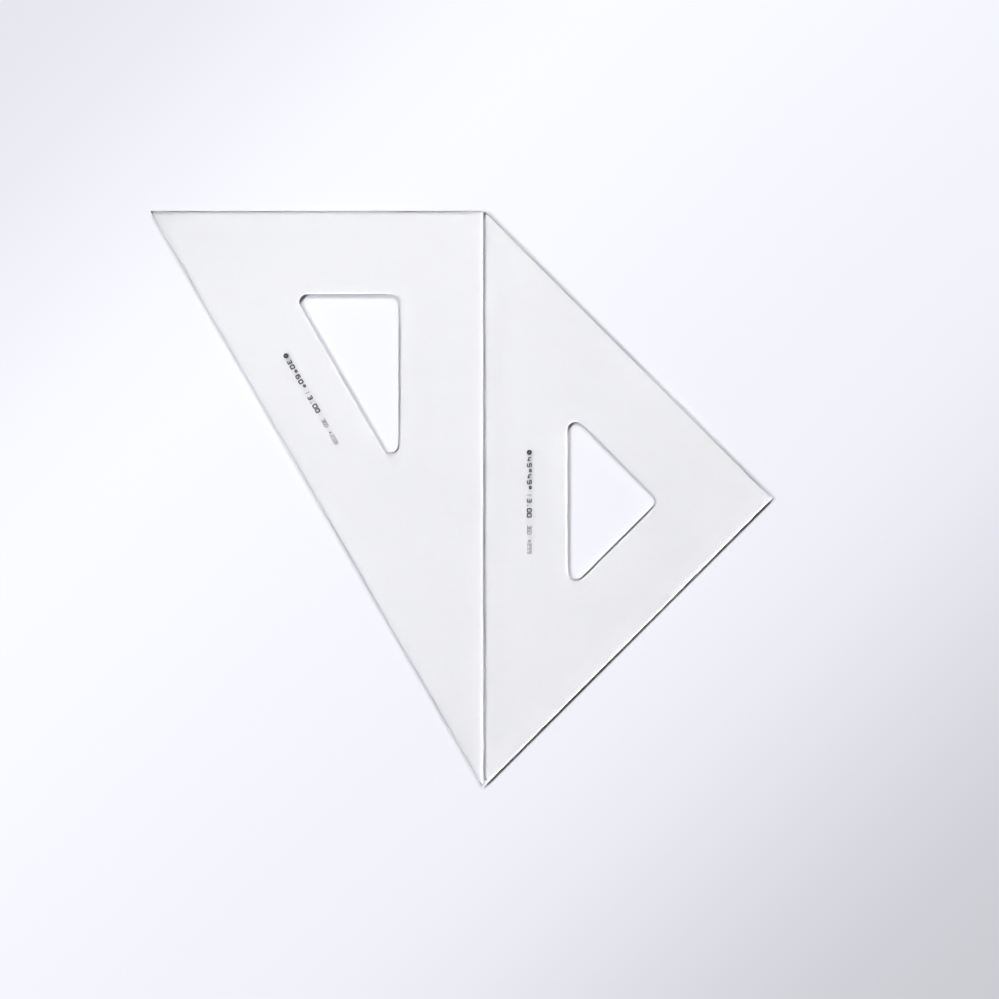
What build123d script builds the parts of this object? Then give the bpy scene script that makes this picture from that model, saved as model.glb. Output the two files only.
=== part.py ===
from build123d import *

import os
from math import radians, tan

# A matched pair of clear acrylic set squares lying flat, edge to edge: a 30/60 degree square on the
# left and a 45 degree square on the right. The long leg of the first and the hypotenuse of the second
# are the same length, so one slides along the other to rule parallel lines.
#
# Sizes are in millimetres. X runs along the short leg of the 30/60 square, Y runs along the shared edge,
# and Z is up. The origin is on the underside, in the middle of the pair's footprint.

# Driving dimensions of the plates
SHARED_EDGE = 360.0
THICKNESS = 3.0
EDGE_GAP = 1.0  # free space between the two plates
BAND_30_60 = 51.9  # material between each outer edge and the window, before the window's shift
BAND_45 = 50.9
WINDOW_SHIFT_30_60 = (-0.8, 0.0)  # how far each window sits off centre
WINDOW_SHIFT_45 = (1.1, -1.0)
TIP_RADIUS = 0.5
WINDOW_RADIUS = 5.5
ARRIS = 0.2  # polished off every long edge, top and bottom

# Driving dimensions of the printed legends
INK_THICKNESS = 0.04
LEGEND_INSET = 28.2  # from the nearest outer edge to the middle of the line of figures
LEGEND_START_30_60 = 121.0  # from the 60 degree tip, along the hypotenuse, to the middle of the sign
LEGEND_START_45 = 151.0  # from the upper tip, along the hypotenuse, to the middle of the sign
FIGURE_HEIGHT = 2.4  # between the middles of the strokes, as are all figure sizes
FIGURE_CORNER = 0.42
BOLD_WIDTH = 2.1
BOLD_STROKE = 0.72
LIGHT_WIDTH = 1.4
LIGHT_STROKE = 0.32
SIGN_RADIUS = 1.6
SIGN_HOLE_RADIUS = 0.4

# Each run of the legend: where its first figure starts after the sign, and the step from figure to figure
ANGLES_START, ANGLES_STEP = 3.4, 3.55
DIVIDER_START = 26.0
PLATE_START, PLATE_STEP = 29.1, 3.1
FIRST_LEG_START, FIRST_LEG_STEP = 45.8, 1.95
SECOND_LEG_START, SECOND_LEG_STEP = 54.7, 2.4

# The strokes of each figure, on a grid 4 wide and 6 high
GRID_WIDTH = 4
GRID_HEIGHT = 6
FIGURES = {
    "0": [[(0, 0), (4, 0), (4, 6), (0, 6), (0, 0)]],
    "2": [[(0, 6), (4, 6), (4, 3), (0, 3), (0, 0), (4, 0)]],
    "3": [[(0, 6), (4, 6), (4, 3), (1, 3)], [(1, 3), (4, 3), (4, 0), (0, 0)]],
    "4": [[(0, 6), (0, 2), (4, 2)], [(3, 4), (3, 0)]],
    "5": [[(4, 6), (0, 6), (0, 3.4), (4, 3.4), (4, 0), (0, 0)]],
    "6": [[(0, 0), (4, 0), (4, 3.4), (0, 3.4), (0, 0)], [(4, 6), (0, 6), (0, 1.7)]],
    "8": [[(0, 0), (4, 0), (4, 6), (0, 6), (0, 0)], [(0, 3), (4, 3)]],
    "°": [[(0.5, 3.4), (3.1, 3.4), (3.1, 6), (0.5, 6), (0.5, 3.4)]],
    "×": [[(0.5, 1), (3.5, 5)], [(0.5, 5), (3.5, 1)]],
    ".": [[(1.5, 0), (2.5, 0)]],
    "|": [[(2, -0.6), (2, 6.6)]],
}

# Worked-out sizes and places
SHORT_LEG = SHARED_EDGE * tan(radians(30))
REACH_45 = SHARED_EDGE / 2
TOP_Y = SHARED_EDGE / 2
SHARED_X = (SHORT_LEG - REACH_45) / 2
RIGHT_OF_30_60 = SHARED_X - EDGE_GAP / 2
LEFT_OF_45 = SHARED_X + EDGE_GAP / 2
TIP_60 = (RIGHT_OF_30_60 - SHORT_LEG, TOP_Y)
CORNERS_30_60 = [TIP_60, (RIGHT_OF_30_60, -TOP_Y), (RIGHT_OF_30_60, TOP_Y)]
CORNERS_45 = [(LEFT_OF_45, TOP_Y), (LEFT_OF_45, -TOP_Y), (LEFT_OF_45 + REACH_45, 0)]


def windowed_triangle(corners, band, shift):
    """Sketches a triangle with blunt tips around a smaller, slightly shifted window of the same shape."""
    with BuildSketch(mode=Mode.PRIVATE) as window:
        with BuildLine():
            Polyline(*corners, close=True)
        make_face()
        offset(amount=-band, kind=Kind.INTERSECTION, mode=Mode.REPLACE)
        fillet(window.vertices(), WINDOW_RADIUS)
    with BuildSketch(mode=Mode.PRIVATE) as outline:
        with BuildLine():
            Polyline(*corners, close=True)
        make_face()
        fillet(outline.vertices(), TIP_RADIUS)
    add(outline.sketch)
    with Locations(shift):
        add(window.sketch, mode=Mode.SUBTRACT)


def figure(name, start, width, stroke):
    """Sketches one figure of the given width and stroke, its left side at X = start."""
    scale_x = width / GRID_WIDTH
    scale_y = FIGURE_HEIGHT / GRID_HEIGHT
    for path in FIGURES[name]:
        points = [(start + x * scale_x, y * scale_y - FIGURE_HEIGHT / 2) for x, y in path]
        with BuildLine() as pen_path:
            if len(points) == 2:
                Line(*points)
            else:
                FilletPolyline(*points, radius=FIGURE_CORNER)
        trace(pen_path.line, line_width=stroke)


def figures(text, start, step, width, stroke):
    """Sketches a run of figures at an even step."""
    for index, name in enumerate(text):
        figure(name, start + index * step, width, stroke)


def legend(angles, first_leg, second_leg):
    """Sketches a round sign, then the angles, the plate's thickness and its two side lengths."""
    Circle(SIGN_RADIUS)
    RegularPolygon(SIGN_HOLE_RADIUS, 3, mode=Mode.SUBTRACT)
    figures(angles, ANGLES_START, ANGLES_STEP, BOLD_WIDTH, BOLD_STROKE)
    figure("|", DIVIDER_START, LIGHT_WIDTH, LIGHT_STROKE)
    figures("3.00", PLATE_START, PLATE_STEP, BOLD_WIDTH, BOLD_STROKE)
    figures(first_leg, FIRST_LEG_START, FIRST_LEG_STEP, LIGHT_WIDTH, LIGHT_STROKE)
    figures(second_leg, SECOND_LEG_START, SECOND_LEG_STEP, LIGHT_WIDTH, LIGHT_STROKE)


def long_edges(plate):
    """The edges around the plate's two faces, outside and in the window."""
    levels = plate.edges().group_by(Axis.Z)
    return levels[0] + levels[-1]


with BuildPart() as plate_30_60:
    with BuildSketch():
        windowed_triangle(CORNERS_30_60, BAND_30_60, WINDOW_SHIFT_30_60)
    extrude(amount=THICKNESS)
    chamfer(long_edges(plate_30_60), length=ARRIS)

with BuildPart() as plate_45:
    with BuildSketch():
        windowed_triangle(CORNERS_45, BAND_45, WINDOW_SHIFT_45)
    extrude(amount=THICKNESS)
    chamfer(long_edges(plate_45), length=ARRIS)

# The legend of the 30/60 square reads down its hypotenuse
down_hypotenuse = Vector(1, 0).rotate(Axis.Z, -60)
into_plate = Vector(1, 0).rotate(Axis.Z, 30)
start_30_60 = Vector(*TIP_60, THICKNESS) + down_hypotenuse * LEGEND_START_30_60 + into_plate * LEGEND_INSET
with BuildPart() as legend_30_60:
    with BuildSketch(Plane(start_30_60, x_dir=down_hypotenuse, z_dir=(0, 0, 1))):
        legend("30°60°", "360", "×208")
    extrude(amount=INK_THICKNESS)

# The legend of the 45 square reads down the shared edge
start_45 = Vector(LEFT_OF_45 + LEGEND_INSET, TOP_Y - LEGEND_START_45, THICKNESS)
with BuildPart() as legend_45:
    with BuildSketch(Plane(start_45, x_dir=(0, -1, 0), z_dir=(0, 0, 1))):
        legend("45°45°", "360", "×255")
    extrude(amount=INK_THICKNESS)

plate_30_60.part.label = "plate_30_60"
plate_45.part.label = "plate_45"
legend_30_60.part.label = "legend_30_60"
legend_45.part.label = "legend_45"

os.makedirs("parts", exist_ok=True)
export_step(plate_30_60.part, "parts/plate_30_60.step")
export_step(plate_45.part, "parts/plate_45.step")
export_step(legend_30_60.part, "parts/legend_30_60.step")
export_step(legend_45.part, "parts/legend_45.step")
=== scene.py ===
from math import acos, atan2, cos, pi, radians, sin, tan

import bmesh
import bpy
from mathutils import Matrix, Vector


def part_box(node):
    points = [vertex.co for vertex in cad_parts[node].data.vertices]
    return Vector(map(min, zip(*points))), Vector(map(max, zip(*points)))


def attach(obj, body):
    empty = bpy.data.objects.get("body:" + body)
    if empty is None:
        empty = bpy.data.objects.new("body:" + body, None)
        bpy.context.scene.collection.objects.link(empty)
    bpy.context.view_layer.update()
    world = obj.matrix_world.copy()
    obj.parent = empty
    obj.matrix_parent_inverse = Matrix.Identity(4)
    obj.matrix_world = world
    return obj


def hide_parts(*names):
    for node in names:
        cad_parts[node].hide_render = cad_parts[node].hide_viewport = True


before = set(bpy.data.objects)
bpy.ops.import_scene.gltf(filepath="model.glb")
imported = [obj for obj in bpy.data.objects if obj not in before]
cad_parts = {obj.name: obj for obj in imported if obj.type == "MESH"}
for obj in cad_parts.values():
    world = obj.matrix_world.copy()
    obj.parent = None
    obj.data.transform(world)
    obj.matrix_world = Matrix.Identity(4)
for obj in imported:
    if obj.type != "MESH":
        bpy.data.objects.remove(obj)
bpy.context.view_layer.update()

# A matched pair of clear acrylic set squares on a pale table, in metres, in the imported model's own frame:
# X along the short leg of the 30/60 square, Y along the shared edge, Z up. The plates are modelled again
# here with rounded arrises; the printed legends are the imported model's own.

MM = 0.001

# Sizes of the plates that their boxes don't give
SHARED_EDGE = 360.0 * MM
BAND_30_60 = 51.9 * MM  # material between each outer edge and the window, before the window's shift
BAND_45 = 50.9 * MM
WINDOW_SHIFT_30_60 = (-0.8 * MM, 0.0)  # how far each window sits off centre
WINDOW_SHIFT_45 = (1.1 * MM, -1.0 * MM)
TIP_RADIUS = 0.5 * MM
WINDOW_RADIUS = 5.5 * MM
ARRIS_RADIUS = 0.2 * MM  # polished round on every long edge
ARRIS_STEPS = 5
TIP_STEPS = 8
WINDOW_STEPS = 20

# Finishes
SHEET_TINT = (0.987, 0.980, 0.964)
ACRYLIC_IOR = 1.49
SMUDGE_SCALE = 14.0
SMUDGE_ROUGHNESS = 0.03
CUTTER_LINE_SCALE = 900.0
CUTTER_LINE_STRETCH = (0.02, 0.02, 1.0)
CUTTER_LINE_ROUGHNESS = 0.04
INK_SCALE = 2500.0
INK_DARK = (0.008, 0.008, 0.010)
INK_PALE = (0.022, 0.022, 0.026)
INK_SMOOTH = 0.42  # roughness where the film is smoothest and roughest
INK_ROUGH = 0.6

# The table, the camera and the lights
TABLE_SIZE = 6.0
TABLE_DROP = 0.02 * MM  # keeps the table clear of the undersides
TABLE_COLOUR = (0.80, 0.806, 0.86)
TABLE_ROUGHNESS = 0.9
MOTTLE_SCALE = 3.0
MOTTLE_DEPTH = 0.985
# Painted shade: the table's colour is darkened towards two corners in place of light falling off there.
PAINTED_SHADE_START = 0.2  # where the painted shade on the table starts, as the difference between X and Y
PAINTED_SHADE_END = 0.62
PAINTED_SHADE_DEPTH = 0.76
CAMERA_HEIGHT = 0.8705
CAMERA_PLACE = (0.0240, -0.0005)
LENS = 50.0
SENSOR = 36.0
VIEW_END = 50.0
LAMP_HEIGHT = 3.0
LAMP_LENGTH = 2.25
LAMP_DEPTH = 1.05
LAMP_RADIANCE = 8.5
LAMP_OUT = 0.88  # how far out the lamps stand, and how far to the side, per metre of height
LAMP_ASIDE = 0.02
ROOM_COLOUR = (0.93, 0.95, 1.0)
ROOM_BRIGHTNESS = 0.02
EXPOSURE = 1.0
MOST_BOUNCES = 64
GLOSSY_BOUNCES = 8  # sets how pale light guided inside the plates leaves their edges


def scaled(values, factor):
    """The values times a factor."""
    return [value * factor for value in values]


# ---------------------------------------------------------------- materials

def new_material(name):
    """A node material with a Principled shader; gives the material, its nodes, its links and the shader."""
    material = bpy.data.materials.new(name)
    material.use_nodes = True
    nodes = material.node_tree.nodes
    links = material.node_tree.links
    return material, nodes, links, nodes["Principled BSDF"]


def object_noise(nodes, links, scale, detail, stretch=(1.0, 1.0, 1.0)):
    """A noise texture in stretched object coordinates; gives its value's socket."""
    coordinates = nodes.new("ShaderNodeTexCoord")
    mapping = nodes.new("ShaderNodeMapping")
    noise = nodes.new("ShaderNodeTexNoise")
    mapping.inputs["Scale"].default_value = stretch
    noise.inputs["Scale"].default_value = scale
    noise.inputs["Detail"].default_value = detail
    links.new(coordinates.outputs["Object"], mapping.inputs["Vector"])
    links.new(mapping.outputs["Vector"], noise.inputs["Vector"])
    return noise.outputs["Fac"]


def ranged(nodes, links, value, low, high, to_low, to_high, steps="LINEAR"):
    """Maps a value from low..high to to_low..to_high, clamped; gives the result's socket."""
    remap = nodes.new("ShaderNodeMapRange")
    remap.interpolation_type = steps
    remap.inputs["From Min"].default_value = low
    remap.inputs["From Max"].default_value = high
    remap.inputs["To Min"].default_value = to_low
    remap.inputs["To Max"].default_value = to_high
    links.new(value, remap.inputs["Value"])
    return remap.outputs["Result"]


def acrylic_shader(name, tint):
    """A clear acrylic material with nothing on its roughness yet."""
    material, nodes, links, shader = new_material(name)
    shader.inputs["Base Color"].default_value = (*tint, 1.0)
    shader.inputs["IOR"].default_value = ACRYLIC_IOR
    shader.inputs["Transmission Weight"].default_value = 1.0
    return material, nodes, links, shader


def face_acrylic():
    """Polished sheet: almost no roughness, with faint handling smudges."""
    material, nodes, links, shader = acrylic_shader("acrylic_sheet", SHEET_TINT)
    smudges = object_noise(nodes, links, SMUDGE_SCALE, 3.0)
    roughness = ranged(nodes, links, smudges, 0.5, 0.75, 0.0, SMUDGE_ROUGHNESS)
    links.new(roughness, shader.inputs["Roughness"])
    return material


def edge_acrylic():
    """Machined and polished edge: glossy, with faint cutter lines."""
    material, nodes, links, shader = acrylic_shader("acrylic_edge", SHEET_TINT)
    lines = object_noise(nodes, links, CUTTER_LINE_SCALE, 2.0, stretch=CUTTER_LINE_STRETCH)
    roughness = ranged(nodes, links, lines, 0.3, 0.7, 0.0, CUTTER_LINE_ROUGHNESS)
    links.new(roughness, shader.inputs["Roughness"])
    return material


def ink():
    """Screen-printed black ink with a slightly uneven film."""
    material, nodes, links, shader = new_material("printed_ink")
    film = object_noise(nodes, links, INK_SCALE, 3.0)
    ramp = nodes.new("ShaderNodeValToRGB")
    ramp.color_ramp.elements[0].color = (*INK_DARK, 1.0)
    ramp.color_ramp.elements[1].color = (*INK_PALE, 1.0)
    links.new(film, ramp.inputs["Fac"])
    links.new(ramp.outputs["Color"], shader.inputs["Base Color"])
    roughness = ranged(nodes, links, film, 0.3, 0.7, INK_SMOOTH, INK_ROUGH)
    links.new(roughness, shader.inputs["Roughness"])
    return material


def painted_corner_shade(nodes, links):
    """Mask of painted shade: 0 along the table's diagonal through the pair, rising to 1 towards its other
    two corners.
    """
    coordinates = nodes.new("ShaderNodeTexCoord")
    split = nodes.new("ShaderNodeSeparateXYZ")
    across = nodes.new("ShaderNodeMath")
    across.operation = "SUBTRACT"
    distance = nodes.new("ShaderNodeMath")
    distance.operation = "ABSOLUTE"
    links.new(coordinates.outputs["Object"], split.inputs["Vector"])
    links.new(split.outputs["X"], across.inputs[0])
    links.new(split.outputs["Y"], across.inputs[1])
    links.new(across.outputs["Value"], distance.inputs[0])
    return ranged(nodes, links, distance.outputs["Value"], PAINTED_SHADE_START, PAINTED_SHADE_END, 0.0, 1.0, "SMOOTHSTEP")


def table_paint():
    """A plain cool-white table top, very slightly mottled, with painted shade that greys it towards two
    corners.
    """
    material, nodes, links, shader = new_material("table_white")
    mottle = object_noise(nodes, links, MOTTLE_SCALE, 2.0)
    ramp = nodes.new("ShaderNodeValToRGB")
    ramp.color_ramp.elements[0].color = (*scaled(TABLE_COLOUR, MOTTLE_DEPTH), 1.0)
    ramp.color_ramp.elements[1].color = (*TABLE_COLOUR, 1.0)
    # painted shade: this mix greys the table colour towards two corners
    painted_shade_mix = nodes.new("ShaderNodeMixRGB")
    painted_shade_mix.inputs["Color2"].default_value = (*scaled(TABLE_COLOUR, PAINTED_SHADE_DEPTH), 1.0)
    links.new(mottle, ramp.inputs["Fac"])
    links.new(painted_corner_shade(nodes, links), painted_shade_mix.inputs["Fac"])
    links.new(ramp.outputs["Color"], painted_shade_mix.inputs["Color1"])
    links.new(painted_shade_mix.outputs["Color"], shader.inputs["Base Color"])
    shader.inputs["Roughness"].default_value = TABLE_ROUGHNESS
    shader.inputs["Specular IOR Level"].default_value = 0.0
    return material


# ---------------------------------------------------------------- plates

def side_normals(corners):
    """The outward normal of each side of an anticlockwise triangle, side i running from corner i."""
    normals = []
    for index, corner in enumerate(corners):
        along = (corners[(index + 1) % len(corners)] - corner).normalized()
        normals.append(Vector((along.y, -along.x)))
    return normals


def inset_corners(corners, inset):
    """The corners of the triangle whose sides lie inset inside the given one's."""
    normals = side_normals(corners)
    moved = []
    for index, corner in enumerate(corners):
        before = normals[index - 1]
        after = normals[index]
        moved.append(corner - (before + after) * (inset / (1.0 + before.dot(after))))
    return moved


def rounded_loop(corners, radius, steps):
    """Arc centres and outward normals, point by point, round a triangle with rounded corners."""
    centres = inset_corners(corners, radius)
    normals = side_normals(corners)
    loop = []
    for index, centre in enumerate(centres):
        start = atan2(normals[index - 1].y, normals[index - 1].x)
        sweep = acos(normals[index - 1].dot(normals[index]))
        for step in range(steps + 1):
            angle = start + sweep * step / steps
            loop.append((centre, Vector((cos(angle), sin(angle)))))
    return loop


def edge_profile(thickness):
    """(distance into the plate, height, share of the normal that is level, share that is upward)."""
    profile = []
    for step in range(ARRIS_STEPS + 1):
        angle = pi / 2 * (1.0 - step / ARRIS_STEPS)
        inwards = ARRIS_RADIUS * (1.0 - cos(angle))
        height = ARRIS_RADIUS * (1.0 - sin(angle))
        profile.append((inwards, height, cos(angle), -sin(angle)))
    for inwards, height, level, upward in reversed(profile[:]):
        profile.append((inwards, thickness - height, level, -upward))
    return profile


def wall(mesh, loop, radius, facing, profile, normals):
    """The rounded wall along a loop. facing is 1 for the outline and -1 for the window. Gives its rings."""
    rings = []
    for inwards, height, level, upward in profile:
        ring = []
        for centre, outward in loop:
            place = centre + outward * (radius - facing * inwards)
            ring.append(mesh.verts.new((place.x, place.y, height)))
            normals.append((outward.x * level * facing, outward.y * level * facing, upward))
        rings.append(ring)
    for below, above in zip(rings, rings[1:]):
        for index in range(len(loop)):
            following = (index + 1) % len(loop)
            corners = [below[index], below[following], above[following], above[index]]
            if facing < 0:
                corners.reverse()
            mesh.faces.new(corners).material_index = 1
    return rings


def cap(mesh, outline, window):
    """The flat face between an outline ring and a window ring."""
    edges = []
    for ring in (outline, window):
        for index, corner in enumerate(ring):
            edges.append(mesh.edges.get((corner, ring[(index + 1) % len(ring)])))
    bmesh.ops.triangle_fill(mesh, edges=edges, use_beauty=True)


def plate_mesh(name, thickness, corners, band, shift, finishes):
    """The mesh of one set square around its window, with the normals of its true rounded edges."""
    profile = edge_profile(thickness)
    outline = rounded_loop(corners, TIP_RADIUS, TIP_STEPS)
    opening = [corner + Vector(shift) for corner in inset_corners(corners, band)]
    window = rounded_loop(opening, WINDOW_RADIUS, WINDOW_STEPS)
    mesh = bmesh.new()
    normals = []
    outline_rings = wall(mesh, outline, TIP_RADIUS, 1, profile, normals)
    window_rings = wall(mesh, window, WINDOW_RADIUS, -1, profile, normals)
    cap(mesh, outline_rings[0], window_rings[0])
    cap(mesh, outline_rings[-1], window_rings[-1])
    bmesh.ops.recalc_face_normals(mesh, faces=mesh.faces[:])
    for face in mesh.faces:
        face.smooth = True
    data = bpy.data.meshes.new(name)
    mesh.to_mesh(data)
    mesh.free()
    data.normals_split_custom_set_from_vertices(normals)
    for finish in finishes:
        data.materials.append(finish)
    return data


def place_plate(name, data, node, body):
    """Puts a set square's mesh in the scene, standing for a packed plate."""
    piece = bpy.data.objects.new(name, data)
    bpy.context.scene.collection.objects.link(piece)
    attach(piece, body)
    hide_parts(node)


def set_squares():
    """Both set squares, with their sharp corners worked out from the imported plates' boxes."""
    high_30_60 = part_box("plate_30_60")[1]
    low_45, high_45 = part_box("plate_45")
    right = high_30_60[0]
    left = low_45[0]
    end = SHARED_EDGE / 2
    short_leg = SHARED_EDGE * tan(radians(30))
    corners_30_60 = [Vector((right - short_leg, end)), Vector((right, -end)), Vector((right, end))]
    corners_45 = [Vector((left, end)), Vector((left, -end)), Vector((left + end, 0.0))]
    finishes = [face_acrylic(), edge_acrylic()]
    name_30_60 = "square_30_60_plate"
    name_45 = "square_45_plate"
    mesh_30_60 = plate_mesh(
        name_30_60, high_30_60[2], corners_30_60, BAND_30_60, WINDOW_SHIFT_30_60, finishes)
    place_plate(name_30_60, mesh_30_60, "plate_30_60", "square_30_60")
    mesh_45 = plate_mesh(name_45, high_45[2], corners_45, BAND_45, WINDOW_SHIFT_45, finishes)
    place_plate(name_45, mesh_45, "plate_45", "square_45")


def print_legends():
    """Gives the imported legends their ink."""
    black = ink()
    for node in ("legend_30_60", "legend_45"):
        for material_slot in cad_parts[node].material_slots:
            material_slot.material = black


# ---------------------------------------------------------------- setting

def table():
    """A plain table top under the plates."""
    half = TABLE_SIZE / 2
    data = bpy.data.meshes.new("table")
    corners = [(-half, -half, 0.0), (half, -half, 0.0), (half, half, 0.0), (-half, half, 0.0)]
    data.from_pydata(corners, [], [(0, 1, 2, 3)])
    data.materials.append(table_paint())
    top = bpy.data.objects.new("table", data)
    top.location = (0.0, 0.0, -TABLE_DROP)
    bpy.context.scene.collection.objects.link(top)


def camera():
    """Looks straight down on the pair."""
    data = bpy.data.cameras.new("camera")
    data.lens = LENS
    data.sensor_width = SENSOR
    data.clip_end = VIEW_END
    viewer = bpy.data.objects.new("camera", data)
    viewer.location = (*CAMERA_PLACE, CAMERA_HEIGHT)
    bpy.context.scene.collection.objects.link(viewer)
    bpy.context.scene.camera = viewer


def softbox(name, slope_x, slope_y):
    """A rectangular lamp, out from the pair by its slopes, with its long side along the 45 degree line."""
    data = bpy.data.lights.new(name, "AREA")
    data.shape = "RECTANGLE"
    data.size = LAMP_LENGTH
    data.size_y = LAMP_DEPTH
    data.energy = LAMP_RADIANCE * pi * LAMP_LENGTH * LAMP_DEPTH
    lamp = bpy.data.objects.new(name, data)
    place = Vector((slope_x, slope_y, 1.0)) * LAMP_HEIGHT
    backwards = place.normalized()
    diagonal = Vector((1.0, 1.0, 0.0))
    across = (diagonal - backwards * backwards.dot(diagonal)).normalized()
    upward = backwards.cross(across)
    lamp.matrix_world = Matrix((across, upward, backwards)).transposed().to_4x4()
    lamp.location = place
    bpy.context.scene.collection.objects.link(lamp)


def room():
    """A faint even light from all round."""
    world = bpy.data.worlds.new("room")
    world.use_nodes = True
    background = world.node_tree.nodes["Background"]
    background.inputs["Color"].default_value = (*ROOM_COLOUR, 1.0)
    background.inputs["Strength"].default_value = ROOM_BRIGHTNESS
    bpy.context.scene.world = world


def rendering():
    """Plain colours, and enough bounces for light guided inside the plates."""
    scene = bpy.context.scene
    scene.view_settings.view_transform = "Standard"
    scene.view_settings.exposure = EXPOSURE
    scene.cycles.blur_glossy = 0.0
    scene.cycles.max_bounces = MOST_BOUNCES
    scene.cycles.glossy_bounces = GLOSSY_BOUNCES
    scene.cycles.transmission_bounces = MOST_BOUNCES


set_squares()
print_legends()
table()
camera()
softbox("key_top", LAMP_ASIDE, LAMP_OUT)
softbox("key_left", -LAMP_OUT, -LAMP_ASIDE)
room()
rendering()
